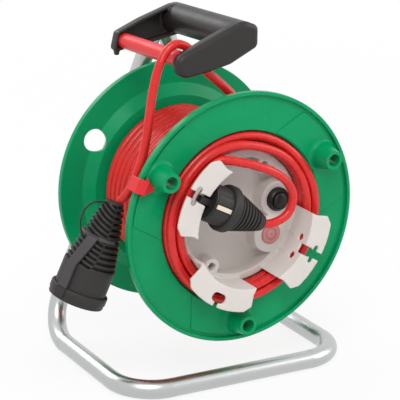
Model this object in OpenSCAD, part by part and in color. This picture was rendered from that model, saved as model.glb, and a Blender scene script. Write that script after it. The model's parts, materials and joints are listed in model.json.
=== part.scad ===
// Extension cord reel: a drum on a stub axle, carried by a stand bent from one steel tube.
// Millimetres. Z is up, the drum turns about an axis along Y, and its plug side faces -Y.
// The origin is on the floor, under the middle of the stand and drum.

/* [Drum] */
// Diameter of both flanges
drum_d = 240; // [230:1:244]
// Width over both flanges
drum_w = 142; // [138:1:146]
// Height of the drum's axis above the floor
axis_h = 160; // [156:1:170]
// Width of a flange's rim lip, measured along the radius
lip_w = 3.5; // [2.5:0.5:5]
// Depth from the lip's edge to the plate of a flange
plate_d = 3.5; // [2.5:0.5:4.5]
// Thickness of a flange's plate
plate_t = 2.5; // [2:0.5:3.5]
// Radius of the recess in the middle of the front flange
recess_r = 83; // [82:0.5:85]
// Depth from the lip's edge to the winding side of a flange's middle
dish_d = 13; // [12:0.5:14]
// Thickness of a flange's middle
dish_t = 2.5; // [2:0.5:3]
// Outer radius of the rear flange's step, on the winding side
step_r = 97; // [95:0.5:99]
// Width of the rear flange's step
step_w = 11; // [8:0.5:12]
// Outer radius of the core tube
core_r = 62; // [61:0.5:63]
// Wall of the core tube
core_wall = 2.5; // [2:0.1:2.8]

/* [Posts and holes] */
// Radius of the circle on which the posts stand
post_circle_r = 100; // [98:0.5:101]
// Diameter of a post at its tip
post_tip_d = 18; // [17:0.5:20]
// Diameter of a post at its base
post_base_d = 27; // [24:0.5:28]
// Height of a post's tip above the lip's edge
post_proud = 17.5; // [12:0.5:20]
// Diameter of a post's bore
post_bore_d = 12; // [9:0.5:13]
// Radius of the circle of holes in the rear flange
hole_circle_r = 98; // [96:0.5:100]
// Diameter of a hole in the rear flange
rear_hole_d = 22; // [18:0.5:22]
// Half width of the raised pad round a post
pad_half_w = 50; // [46:1:52]
// Height of the raised pad
pad_h = 1; // [0.5:0.1:1.5]

/* [Cord] */
// Diameter of the cord
cord_d = 8.3; // [7.8:0.1:8.4]
// Turns in the outer layer on the drum
winding_turns_n = 12; // [8:1:12]
// Outer radius of the winding
winding_r = 79; // [77:0.5:80]
// Turns of the lead stowed in the front recess
coil_turns = 4; // [2:1:4]

/* [Stand] */
// Diameter of the steel tube
tube_d = 18; // [16:0.5:18]
// Wall of the steel tube
tube_wall = 1.5; // [1:0.1:2]
// Width between the centre lines of the two floor rails
base_w = 234; // [224:1:250]
// Distance from the drum's middle forward to the front rail
front_reach = 80; // [74:1:90]
// Distance from the drum's middle back to the legs
leg_back = 96; // [96:1:104]
// Bend radius of the front corners, to the centre line
front_bend_r = 40; // [30:1:50]
// Bend radius of the rear corners, to the centre line
rear_bend_r = 39; // [32:1:46]
// Bend radius at the top of the left leg, to the centre line
top_bend_r = 25; // [24:1:26]

/* [Bearing] */
// Diameter of the stub axle
axle_d = 20; // [16:0.5:22]
// Radial clearance between the axle and its bush
running_clearance = 0.05; // [0.03:0.01:0.09]
// Length of the bush along the axle
bush_len = 40; // [34:1:44]
// Wall of the bush
bush_wall = 2; // [1.5:0.5:3]
// Thickness of the bearing bracket's plate
bracket_t = 3; // [2:0.5:3.5]
// Height of the bearing bracket
bracket_h = 64; // [60:1:76]
// Vertical distance between the two bolts in a leg
bolt_pitch = 36; // [34:1:44]
// Diameter of the bracket's bolts
bolt_d = 6; // [5:0.5:8]

/* [Handle] */
// Height of the grip's axis over the middle of the drum
grip_h = 325; // [322:1:336]
// Angle by which the grip rises to the front
grip_tilt = 3.1; // [2:0.1:4]
// Diameter of the grip
grip_d = 29; // [27:0.5:30]
// Distance from the drum's middle forward to the near arm's face
near_face = 62; // [58:1:66]
// Distance from the drum's middle back to the far arm's face
far_face = 70; // [66:1:71]
// Thickness of a handle arm
arm_t = 13; // [11:0.5:14]
// Wall of the hollow arms
arm_wall = 3; // [2.5:0.5:3.5]
// Distance from the grip across to the guide bar
bar_side = 58; // [56:0.5:59]
// Distance from the grip down to the guide bar
bar_drop = 17; // [16:0.5:18]
// Diameter of the guide bar
bar_d = 16.4; // [14:0.2:16.6]

/* [Plug nest] */
// Outer radius of the nest's bowl
nest_r = 59; // [58:0.1:59]
// Depth from the lip's edge to the nest's rim
rim_d = 8; // [7:0.5:8]
// Depth of the bowl below the nest's rim
bowl_depth = 16; // [14:0.5:18]
// Wall of the bowl
bowl_wall = 2.5; // [2:0.1:3]
// Height of the flaps above the lip's edge
flap_proud = 24; // [22:0.5:26]
// Outer radius of the flaps
flap_r = 83; // [80:0.5:85]
// Thickness of the flaps
flap_t = 2.5; // [2:0.1:3]
// Half width of a flap at its outer edge
flap_half_w = 38; // [34:0.5:39]
// Diameter of the indicator lens
lens_d = 19.5; // [17:0.5:21]
// Diameter of the reset button's collar
collar_d = 24; // [20:0.5:25]
// Travel of the reset button
button_travel = 2.5; // [1.5:0.1:3]

/* [Plug and coupling] */
// Diameter of the plug's body
plug_d = 44; // [40:0.5:44]
// Length of the plug's rubber body
plug_len = 68; // [64:0.5:70]
// Distance between the two contact pins
pin_pitch = 19; // [18:0.1:20]
// Diameter of a contact pin
pin_d = 4.8; // [4:0.1:5]
// Length of a contact pin
pin_len = 19; // [17:0.5:19]
// Diameter of the coupling's body
coupling_d = 48.6; // [47:0.2:50]
// Length of the coupling's body
coupling_len = 94; // [90:1:97]
// Number of ribs on the coupling
coupling_ribs = 10; // [6:1:12]
// Outer diameter of the coupling's cap
cap_d = 54; // [54:0.5:57]

/* [Hidden] */
$fn = 96;

// Sides of the faceted tubes, and of small rounds
cord_sides = 10;
wound_sides = 6;
loop_rings = 24;
small_fn = 48;

// Gap between seated pieces of one body, and between pieces that move past each other
seat_gap = 0.1;
move_gap = 0.3;
// Overshoot of a cut past the face that it opens
cut = 1;

// Bolt and nut proportions
head_h = 0.55 * bolt_d;
head_d = 2 * bolt_d;
nut_h = 0.8 * bolt_d;
bolt_hole_d = bolt_d + 0.4;

// The drum is placed so that the stand and drum are centred front to back
rear_reach = leg_back + tube_d / 2 + seat_gap + head_h;
fore_reach = drum_w / 2 + flap_proud;
drum_y = (fore_reach - rear_reach) / 2;
face_z = drum_w / 2;
drum_r = drum_d / 2;

// Places of the posts, of the plug nest's flaps and of the screws round the axis
post_angles = [30, 150, 270];
// The rear holes stay inside the rim's lip
rear_hole_at = min(hole_circle_r, drum_r - lip_w - rear_hole_d / 2 - 1);
flap_angles = [-30, 150, 240];
screw_angles = [-120, 60];

// Winding space between the flanges
inner_z = face_z - dish_d;
core_in_r = core_r - core_wall;
winding_line_r = winding_r - cord_d / 2;
floor_z = inner_z + dish_t;
lip_t = plate_d + plate_t;

// Stand: rails, legs and the lean of the legs towards the apex
rail_x = base_w / 2;
rail_z = tube_d / 2;
leg_y = drum_y + leg_back;
front_y = drum_y - front_reach;
apex_z = grip_h - leg_back * tan(grip_tilt);
leg_lean = atan(rail_x / (apex_z - rail_z));
tube_r = tube_d / 2;
// A bend is this much fatter than the straight runs, which are let into it by this length
bend_swell = 0.15;
run_let_in = 1;
weld_z = apex_z - 14;

// Bracket plate, in front of the legs
plate_y = leg_y - tube_r - seat_gap;
function leg_x(z) = rail_x * (apex_z - z) / (apex_z - rail_z);
bolt_spots = [for (side = [-1, 1], dz = [-0.5, 0.5])
    [side * leg_x(axis_h + dz * bolt_pitch), axis_h + dz * bolt_pitch]];

// Bearing: distances behind the drum's middle plane
collar_face = leg_back - tube_r - seat_gap - bracket_t;
axle_collar_t = 3;
bush_flange_t = 2;
bush_rear = collar_face - axle_collar_t - move_gap;
bush_front = bush_rear - bush_len;
bush_r = axle_d / 2 + running_clearance + bush_wall;
bush_flange_r = bush_r + 4;
hub_r = bush_r + 6;
hub_rear = bush_rear - bush_flange_t;
circlip_t = 1.5;
groove_depth = 0.8;
axle_stud_d = 12;

// Handle: arm outline between the grip and the guide bar
arm_head = [0, -2];
arm_head_r = 14.5;
arm_belly = [-40, -bar_drop - 0.5];
arm_belly_r = 13.5;
arm_tail = [-bar_side - 1, -bar_drop - 3];
arm_tail_r = 11.5;
near_in = near_face - arm_t;
far_in = far_face - arm_t;
handle_screw_z = [-38, 36];

// Plug nest heights, forward of the drum's middle plane
rim_z = face_z - rim_d;
bowl_z = rim_z - bowl_depth;
flap_z = face_z + flap_proud;
rim_t = rim_z - floor_z;
wall_in_r = 61;
wall_out_r = wall_in_r + flap_t;
rim_r = wall_out_r + 0.5;
flap_root_half_w = 34;
pin_hole_z = face_z + 12;
lip_slot_w = 7;
oval_slot_w = 5;
notch_d = 5;
notch_side = 6.5;
oval_d = 9;
oval_side = 3.5;
wall_notch_w = 9;
notch_r = flap_r - 9;
button_at = [41.5, 11.5];
lens_at = [36.7, -22.5];
boss_r = 17;
lens_boss_r = 18.5;
screw_at_r = 53;
screw_boss_r = 8;
screw_d = 4;
screw_len = 28;
screw_head_d = 7;
neck_r = 8;
button_r = 7;
button_proud = 3;
collar_h = 6;

// Plug: its axis runs through the nose point towards the nest's wall
plug_axis_z = pin_hole_z;
plug_turn = 153.5;
plug_nose_at = [wall_in_r - 4.8, 150];
plug_nose_r = 19;
nose_tab_w = 6;
plug_nose_len = 20;
plug_face_t = 2;
earth_w = 4;
earth_t = 1;
pin_root = 6;
plug_tail_r = 7.5;
plug_ribs = 8;

// Coupling: neck and cap places, and the turn of the strap round the axis
coupling_neck = [-115, drum_y - 36, 181];
coupling_end = [-148, drum_y - 30, 97];
coupling_dir = (coupling_end - coupling_neck) / norm(coupling_end - coupling_neck);
coupling_r = coupling_d / 2;
coupling_neck_r = 8.5;
rib_zone = 62;
rib_depth = 3;
cap_depth = 9;
cap_floor = 3;
strap_turn = 126;
strap_w = 11;
strap_t = 3;
strap_rib = 5;
strap_off = 1.3;
socket_r = 19.6;
socket_depth = 17;
socket_base = rib_zone + 2;
contact_base = 54;
contact_room_r = 15.5;

// Cord clip on the front flange's rim, a little way round from the post beside it
clip_w = 14;
clip_tip_w = clip_w + 4;
clip_tip_r = drum_r - 5;
clip_shift = 2.8;
clip_reach = sqrt(max(pow(post_base_d / 2 + move_gap, 2) - pow(clip_tip_r - post_circle_r, 2), 0));
clip_angle = post_angles[1] + clip_shift + asin((clip_reach + clip_tip_w / 2) / clip_tip_r);

// Route of the cord from the winding over the guide bar to the coupling:
// x across, y forward of the drum's middle as a negative number, z above the floor
bar_route = [
    [27, -53, 240], [19, -53, 249], [11, -52, 257], [4, -51, 265], [-4, -50, 273],
    [-12, -49, 281], [-21, -48, 289], [-30, -46, 297], [-38, -45, 306], [-44, -44, 314],
    [-48, -43, 319], [-53, -42, 322], [-58, -42, 323.5], [-63, -42, 322.5], [-68, -42, 319],
    [-71, -42, 314], [-73, -43, 307], [-75, -43, 299], [-78, -44, 289], [-80, -44, 279],
    [-83, -45, 267], [-85, -45, 256], [-88, -46, 244], [-90, -47, 233], [-93, -48, 222],
    [-96, -48, 212], [-101, -47, 201], [-107, -43, 191], [-112, -39, 185], [-115, -36, 181]
];
// Route of the lead from the plug's tail round the reset button to the front coil:
// x across, y up from the axis, z forward of the drum's middle
lead_route = [
    [8, 0, 83], [14, -3, 83], [21, -4, 84], [28, -3, 84], [35, 0, 85], [41, 5, 85], [44, 12, 85],
    [45, 20, 85], [42, 28, 85], [37, 35, 85], [30, 41, 85], [22, 46, 85], [14, 50, 85], [6, 53, 84],
    [-2, 56, 83], [-10, 58, 82], [-17, 60, 81], [-24, 61, 79], [-31, 61, 76], [-37, 58, 75],
    [-42, 54, 74]
];

// Smoothstep between 0 and 1
function ease(t) = t <= 0 ? 0 : t >= 1 ? 1 : t * t * (3 - 2 * t);
function unit(v) = v / norm(v);

// Direction of a route at its point i
function heading(p, i) = unit(p[min(i + 1, len(p) - 1)] - p[max(i - 1, 0)]);

// Points of one ring round a route, square to it, with the given upward reference
function ring_of(p, i, r, sides, up) =
    let (t = heading(p, i), a = unit(cross(up, t)), b = cross(t, a))
    [for (k = [0:sides - 1]) p[i] + r * (cos(360 * k / sides) * a + sin(360 * k / sides) * b)];

// A solid tube swept along a route
module swept_tube(p, d, sides, up) {
    n = len(p);
    points = [for (i = [0:n - 1]) each ring_of(p, i, d / 2, sides, up)];
    walls = [for (i = [0:n - 2], k = [0:sides - 1], half = [0, 1])
        let (a = i * sides + k, b = i * sides + (k + 1) % sides)
        half == 0 ? [a, a + sides, b] : [b, a + sides, b + sides]];
    start_cap = [for (k = [1:sides - 2]) [0, k, k + 1]];
    end_base = (n - 1) * sides;
    end_cap = [for (k = [1:sides - 2]) [end_base, end_base + k + 1, end_base + k]];
    polyhedron(points = points, faces = concat(start_cap, walls, end_cap));
}

// Least gap of a wound route to its own next turns
function least_gap(p, d, near, far) =
    min([for (i = [0:len(p) - 1], j = [i + near:min(i + far, len(p) - 1)]) norm(p[i] - p[j])]) - d;

// Outer layer of the winding: a helix, whose last end leaves along the tangent
winding_end_angle = 43.3;
winding_pitch = (2 * inner_z - cord_d - 2) / winding_turns_n;
winding_end_z = inner_z - cord_d / 2 - 1;
leave_len = 39.5;
winding_points = concat(
    [for (k = [-winding_turns_n * loop_rings:0])
        let (a = winding_end_angle + k * 360 / loop_rings)
        [winding_line_r * cos(a), winding_line_r * sin(a), winding_end_z + k * winding_pitch / loop_rings]],
    [for (s = [0.35, 0.7, 1])
        let (a = winding_end_angle)
        [winding_line_r * cos(a) - s * leave_len * sin(a),
         winding_line_r * sin(a) + s * leave_len * cos(a), winding_end_z]]);

// Front coil: the lead lies in two columns in the recess. Each turn keeps its place and
// steps to the next one in a sector that no other turn uses, so that none cross.
coil_in_r = wall_out_r + cord_d / 2 + 0.9;
coil_out_r = min(recess_r - cord_d / 2 - 0.5, coil_in_r + cord_d + 0.8);
coil_pitch = cord_d + 0.6;
coil_low_z = floor_z + cord_d / 2 + move_gap;
coil_top_z = coil_low_z + coil_pitch;
coil_places = [
    [coil_in_r, coil_top_z], [coil_out_r, coil_top_z],
    [coil_out_r, coil_low_z], [coil_in_r, coil_low_z]
];
coil_start_angle = 128;
coil_stagger = 60;
coil_span = 360 * coil_turns - coil_stagger * (coil_turns - 1);
function coil_place(a, i = 0) = i >= coil_turns - 1 ? coil_places[i]
    : let (from = (i + 1) * (360 - coil_stagger))
      a < from ? coil_places[i]
      : a < from + coil_stagger
        ? coil_places[i] + (coil_places[i + 1] - coil_places[i]) * ease((a - from) / coil_stagger)
        : coil_place(a, i + 1);
coil_points = [for (k = [0:coil_span * loop_rings / 360])
    let (a = k * 360 / loop_rings, place = coil_place(a))
    [place[0] * cos(coil_start_angle + a), place[0] * sin(coil_start_angle + a), place[1]]];

echo(winding_least_gap = least_gap(winding_points, cord_d, 12, 36));
echo(coil_least_gap = least_gap(coil_points, cord_d, 10, 150));

// ---- Placing ----

// Drum pieces are drawn about the axis: x across, y up, z forward of the middle plane
module at_drum() {
    translate([0, drum_y, axis_h]) rotate([90, 0, 0]) children();
}

// Handle pieces are drawn about the grip: x across, y up, z forward of the drum's middle
module at_handle() {
    translate([0, drum_y, grip_h]) rotate([90 - grip_tilt, 0, 0]) children();
}

// Coupling pieces are drawn along its axis, from the neck at z = 0 to the mouth
module at_coupling() {
    translate(coupling_neck)
        rotate([0, acos(coupling_dir[2]), atan2(coupling_dir[1], coupling_dir[0])])
            children();
}

// Plug pieces are drawn along its axis: z = 0 at the face, z rising to the pins' tips
module at_plug() {
    nose = plug_nose_at[0] * [cos(plug_nose_at[1]), sin(plug_nose_at[1])];
    at_drum() translate([nose[0], nose[1], plug_axis_z]) rotate([0, 0, plug_turn]) rotate([0, 90, 0])
        children();
}

// ---- Shapes ----

// Outline round two circles, with the two lines that touch both
module rounded_bar(c1, r1, c2, r2) {
    d = norm(c2 - c1);
    base = atan2(c2[1] - c1[1], c2[0] - c1[0]);
    spread = acos((r1 - r2) / d);
    // The straight sides lie a hair inside the circles, so that they cross them cleanly
    function spot(c, r, side) = c + (r - 0.04) * [cos(base + side * spread), sin(base + side * spread)];
    translate(c1) circle(r = r1);
    translate(c2) circle(r = r2);
    polygon([spot(c1, r1, 1), spot(c2, r2, 1), spot(c2, r2, -1), spot(c1, r1, -1)]);
}

// Outline of a handle arm, drawn in from its edge by the given distance
module arm_outline(inset) {
    rounded_bar(arm_head, arm_head_r - inset, arm_belly, arm_belly_r - inset);
    rounded_bar(arm_belly, arm_belly_r - inset, arm_tail, arm_tail_r - inset);
}

// A straight run from a to b between two bends, let into them at both ends
module straight_run(a, b, r) {
    d = b - a;
    translate(a) rotate([0, acos(d[2] / norm(d)), atan2(d[1], d[0])])
        translate([0, 0, -run_let_in]) cylinder(r = r - bend_swell, h = norm(d) + 2 * run_let_in);
}

// A bend of a tube of radius r at a corner, from heading u to heading v
module tube_bend(corner, u, v, bend_r, r) {
    turn = acos(u * v);
    start = corner - u * bend_r * tan(turn / 2);
    side = unit(v - u * (u * v));
    axis = cross(u, side);
    centre = start + side * bend_r;
    multmatrix([
        [-side[0], u[0], axis[0], centre[0]],
        [-side[1], u[1], axis[1], centre[1]],
        [-side[2], u[2], axis[2], centre[2]]
    ])
        rotate_extrude(angle = turn) translate([bend_r, 0]) circle(r = r, $fn = small_fn);
}

// The stand's whole centre line, drawn as a tube of radius r
module stand_line(r, end_back) {
    left_up = [sin(leg_lean), 0, cos(leg_lean)];
    right_up = [-sin(leg_lean), 0, cos(leg_lean)];
    forward = [0, -cos(grip_tilt), sin(grip_tilt)];
    back = [0, 1, 0];
    rear_left = [-rail_x, leg_y, rail_z];
    rear_right = [rail_x, leg_y, rail_z];
    front_left = [-rail_x, front_y, rail_z];
    front_right = [rail_x, front_y, rail_z];
    apex = [0, leg_y, apex_z];
    top_cut = top_bend_r * tan(acos(left_up * forward) / 2);
    weld_end = [leg_x(weld_z), leg_y, weld_z] - right_up * end_back;
    grip_len = (leg_back + near_face - arm_wall - 1) / cos(grip_tilt) - run_let_in;
    grip_end = apex + forward * (grip_len - end_back);
    tube_bend(rear_left, -left_up, -back, rear_bend_r, r);
    tube_bend(rear_right, back, right_up, rear_bend_r, r);
    tube_bend(front_left, -back, [1, 0, 0], front_bend_r, r);
    tube_bend(front_right, [1, 0, 0], back, front_bend_r, r);
    tube_bend(apex, left_up, forward, top_bend_r, r);
    straight_run(rear_left + left_up * rear_bend_r, apex - left_up * top_cut, r);
    straight_run(rear_right + right_up * rear_bend_r, weld_end, r);
    straight_run(front_left + back * front_bend_r, rear_left - back * rear_bend_r, r);
    straight_run(front_right + back * front_bend_r, rear_right - back * rear_bend_r, r);
    straight_run(front_left + [front_bend_r, 0, 0], front_right - [front_bend_r, 0, 0], r);
    straight_run(apex + forward * top_cut, grip_end, r);
}

// ---- Stand ----

module frame_tube() {
    color("silver")
    difference() {
        stand_line(tube_r, 0);
        stand_line(tube_r - tube_wall, 2);
        for (spot = bolt_spots)
            translate([spot[0], leg_y + tube_d, spot[1]]) rotate([90, 0, 0])
                cylinder(d = bolt_hole_d, h = 2 * tube_d, $fn = small_fn);
        at_handle() for (z = handle_screw_z)
            translate([0, 0, z]) rotate([90, 0, 0]) cylinder(d = 3.8, h = tube_d, $fn = small_fn);
    }
}

module bearing_bracket() {
    top = axis_h + bracket_h / 2;
    bottom = axis_h - bracket_h / 2;
    color("darkgray")
    difference() {
        union() {
            translate([0, plate_y, 0]) rotate([90, 0, 0]) linear_extrude(bracket_t)
                polygon([
                    [-leg_x(bottom) - tube_r, bottom], [leg_x(bottom) + tube_r, bottom],
                    [leg_x(top) + tube_r, top], [-leg_x(top) - tube_r, top]
                ]);
            // Stiffening flanges folded back between the legs
            for (z = [bottom, top - bracket_t])
                translate([-leg_x(z) + tube_d, plate_y - bracket_t, z])
                    cube([2 * leg_x(z) - 2 * tube_d, bracket_t + tube_r, bracket_t]);
        }
        translate([0, plate_y + cut, axis_h]) rotate([90, 0, 0])
            cylinder(d = axle_stud_d + 0.2, h = bracket_t + 2 * cut);
        for (spot = bolt_spots)
            translate([spot[0], plate_y + cut, spot[1]]) rotate([90, 0, 0])
                cylinder(d = bolt_hole_d, h = bracket_t + 2 * cut, $fn = small_fn);
    }
}

module bracket_bolts() {
    color("gainsboro")
    for (spot = bolt_spots)
        translate([spot[0], leg_y + tube_r + seat_gap, spot[1]]) rotate([90, 0, 0]) {
            cylinder(d = bolt_d, h = tube_d + 2 * seat_gap + bracket_t + nut_h, $fn = small_fn);
            // Domed head behind the leg
            translate([0, 0, -head_h]) rotate_extrude()
                polygon([[0, 0], [head_d * 0.28, 0], [head_d * 0.44, head_h * 0.4],
                         [head_d / 2, head_h * 0.8], [head_d / 2, head_h], [0, head_h]]);
        }
}

module bracket_nuts() {
    color("gainsboro")
    for (spot = bolt_spots)
        translate([spot[0], plate_y - bracket_t, spot[1]]) rotate([90, 0, 0]) difference() {
            cylinder(d = 1.9 * bolt_d, h = nut_h, $fn = 6);
            translate([0, 0, -cut]) cylinder(d = bolt_d, h = nut_h + 2 * cut, $fn = small_fn);
        }
}

module axle() {
    color("gray")
    at_drum() rotate_extrude()
        polygon([
            [0, -collar_face - bracket_t - 12], [axle_stud_d / 2, -collar_face - bracket_t - 12],
            [axle_stud_d / 2, -collar_face], [bush_flange_r, -collar_face],
            [bush_flange_r, -collar_face + axle_collar_t], [axle_d / 2, -collar_face + axle_collar_t],
            [axle_d / 2, -bush_front + move_gap], [axle_d / 2 - groove_depth, -bush_front + move_gap],
            [axle_d / 2 - groove_depth, -bush_front + move_gap + circlip_t + seat_gap],
            [axle_d / 2, -bush_front + move_gap + circlip_t + seat_gap],
            [axle_d / 2, -bush_front + 5], [axle_d / 2 - 1, -bush_front + 6], [0, -bush_front + 6]
        ]);
}

module axle_nut() {
    color("gainsboro")
    at_drum() translate([0, 0, -collar_face - bracket_t - 8]) difference() {
        cylinder(d = 21, h = 8, $fn = 6);
        translate([0, 0, -cut]) cylinder(d = axle_stud_d, h = 8 + 2 * cut);
    }
}

module axle_circlip() {
    color("dimgray")
    at_drum() translate([0, 0, -bush_front + move_gap]) difference() {
        cylinder(r = axle_d / 2 + 3, h = circlip_t);
        translate([0, 0, -cut])
            cylinder(r = axle_d / 2 - groove_depth + 0.05, h = circlip_t + 2 * cut);
        translate([0, -3, -cut]) cube([axle_d, 6, circlip_t + 2 * cut]);
    }
}

// ---- Handle ----

// A hollow arm, closed at its outer face and open towards the other arm.
// Drawn with its outer face at the given height, hollow towards lower z.
module handle_arm() {
    edge = 1.5;
    difference() {
        union() {
            linear_extrude(arm_t - edge) arm_outline(0);
            linear_extrude(arm_t) arm_outline(edge);
        }
        difference() {
            translate([0, 0, -cut]) linear_extrude(arm_t - arm_wall + cut) arm_outline(arm_wall);
            translate([0, 0, -2 * cut]) cylinder(d = grip_d - 4, h = arm_t + 2 * cut);
            // Collar that the guide bar seats in
            translate([-bar_side, -bar_drop, 0]) cylinder(d = bar_d + 2.4, h = arm_t);
        }
        translate([-bar_side, -bar_drop, -cut])
            cylinder(d = bar_d + 2 * seat_gap, h = arm_t - arm_wall + cut);
    }
}

module handle_body() {
    color("#3c3a38")
    at_handle() difference() {
        union() {
            translate([0, 0, near_in]) handle_arm();
            translate([0, 0, -far_in]) mirror([0, 0, 1]) handle_arm();
            translate([0, 0, -far_in - cut]) cylinder(d = grip_d, h = far_in + near_in + 2 * cut);
            // Hooked lip at the far arm's lower nose
            translate([arm_tail[0] - arm_tail_r + 1, arm_tail[1] - 8, -far_in - 2]) cube([4, 5, 5]);
        }
        translate([0, 0, -far_face - cut])
            cylinder(d = tube_d + 2 * seat_gap, h = far_face + near_face - arm_wall + cut);
        for (z = handle_screw_z)
            translate([0, -tube_r, z]) rotate([90, 0, 0]) {
                cylinder(d = 4.2, h = grip_d, $fn = small_fn);
                translate([0, 0, grip_d / 2 - tube_r - 2.5]) cylinder(d = 7.6, h = grip_d, $fn = small_fn);
            }
    }
}

module guide_bar() {
    color("#e63c41")
    at_handle() translate([-bar_side, -bar_drop, -far_face + arm_wall]) difference() {
        cylinder(d = bar_d, h = far_face + near_face - 2 * arm_wall);
        translate([0, 0, -cut]) cylinder(d = bar_d - 4, h = far_face + near_face);
    }
}

module handle_screws() {
    color("silver")
    at_handle() for (z = handle_screw_z)
        translate([0, -tube_r + 4, z]) rotate([90, 0, 0]) {
            cylinder(d = 3.6, h = grip_d / 2 - tube_r + 2, $fn = small_fn);
            translate([0, 0, grip_d / 2 - tube_r + 1.5]) cylinder(d = screw_head_d, h = 2, $fn = small_fn);
        }
}

// ---- Cord from the winding to the coupling ----

module cord_over_bar() {
    color("#d72828")
    swept_tube([for (p = bar_route) p + [0, drum_y, 0]], cord_d, cord_sides, [0, 1, 0]);
}

// Radius of the coupling's taper at height z
function coupling_taper(z) =
    coupling_neck_r + (coupling_r - coupling_neck_r) * pow(min(z / rib_zone, 1), 0.85);

rib_pitch = rib_zone / coupling_ribs;
function rib_r(i) = coupling_taper((i + 0.5) * rib_pitch);

module coupling_body() {
    ribs = [for (i = [0:coupling_ribs - 1]) each
        let (z = i * rib_pitch, r = rib_r(i))
        [[r, z + 0.1 * rib_pitch], [r, z + 0.55 * rib_pitch],
         [r - rib_depth, z + 0.62 * rib_pitch], [r - rib_depth, z + rib_pitch]]];
    color("#302e2d")
    at_coupling() difference() {
        rotate_extrude()
            polygon(concat([[0, 0], [coupling_taper(0) - 1, 0]], ribs,
                [[coupling_r - 1, rib_zone + 0.5], [coupling_r, rib_zone + 1.5],
                 [coupling_r, coupling_len], [0, coupling_len]]));
        translate([0, 0, socket_base]) cylinder(r = coupling_r - 2, h = coupling_len);
        translate([0, 0, contact_base]) cylinder(r = contact_room_r, h = coupling_len);
    }
}

module coupling_face() {
    outer_r = coupling_r - 2 - seat_gap;
    color("#252423")
    at_coupling() difference() {
        union() {
            translate([0, 0, socket_base + seat_gap])
                cylinder(r = outer_r, h = coupling_len - socket_base - seat_gap);
            // Core that reaches back for the contacts
            translate([0, 0, contact_base + seat_gap])
                cylinder(r = contact_room_r - seat_gap, h = socket_base + 2 - contact_base);
        }
        translate([0, 0, coupling_len - socket_depth]) cylinder(r = socket_r, h = coupling_len);
        for (side = [-1, 1])
            translate([side * pin_pitch / 2, 0, contact_base + 2]) cylinder(d = 7, h = coupling_len, $fn = small_fn);
    }
}

module coupling_contacts() {
    color("gold")
    at_coupling() {
        for (side = [-1, 1])
            translate([side * pin_pitch / 2, 0, contact_base + 2]) difference() {
                cylinder(d = 6.8, h = coupling_len - contact_base - socket_depth - 3, $fn = small_fn);
                translate([0, 0, 2]) cylinder(d = 5, h = coupling_len, $fn = small_fn);
            }
        // Earth contacts at both sides of the socket
        for (side = [-1, 1])
            translate([-3, side * (socket_r - 1) - 0.5, coupling_len - socket_depth]) cube([6, 1, 14]);
    }
}

module coupling_cap() {
    top = coupling_len + move_gap - cap_depth;
    floor_face = coupling_len + move_gap;
    outer_r = cap_d / 2;
    color("#302e2d")
    at_coupling() {
        rotate_extrude()
            polygon([
                [0, floor_face], [coupling_r + move_gap, floor_face], [coupling_r + move_gap, top],
                [outer_r - 0.6, top], [outer_r, top + 0.6], [outer_r, top + 7], [outer_r - 0.8, top + 7.6],
                [outer_r - 0.8, floor_face + cap_floor - 1], [outer_r - 1.8, floor_face + cap_floor],
                [0, floor_face + cap_floor]
            ]);
        // Lug that the strap is moulded to
        rotate([0, 0, strap_turn]) translate([outer_r - 1, -strap_w / 2, top])
            cube([2.2, strap_w, cap_depth]);
    }
}

// The strap's ring lies in the groove behind this rib
ring_low = (strap_rib + 0.7) * rib_pitch;
ring_t = 1.2;
ring_r = rib_r(strap_rib) + strap_off + 0.5;

module cap_strap() {
    low = coupling_len - cap_depth;
    flat_r = coupling_r + 0.5;
    top_r = rib_r(strap_rib) + strap_off;
    color("#3a3836")
    at_coupling() {
        // Band that stands off the ribs
        rotate([0, 0, strap_turn]) translate([0, strap_w / 2, 0]) rotate([90, 0, 0])
            linear_extrude(strap_w)
                polygon([
                    [flat_r, low], [flat_r, rib_zone + 6], [coupling_r + strap_off, rib_zone],
                    [top_r, ring_low], [top_r + strap_t, ring_low],
                    [coupling_r + strap_off + strap_t, rib_zone - 1], [flat_r + strap_t, rib_zone + 6],
                    [flat_r + strap_t, low]
                ]);
        translate([0, 0, ring_low]) difference() {
            cylinder(r = ring_r, h = ring_t);
            translate([0, 0, -cut])
                cylinder(r = rib_r(strap_rib) - rib_depth + seat_gap, h = ring_t + 2 * cut);
        }
    }
}

module tether_loop() {
    loop = [
        [ring_r + 1.1, ring_low + 0.6], [24.5, 31.5], [27.5, 26], [29, 19.5], [28.5, 13], [26, 8],
        [22, 4.5], [17.5, 3], [13, 2.5], [10.1, 2.6]
    ];
    color("#302e2d")
    at_coupling() rotate([0, 0, strap_turn + 40])
        swept_tube([for (p = loop) [p[0], 0, p[1]]], 2, 8, [0, 1, 0]);
}

// ---- Drum ----

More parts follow.
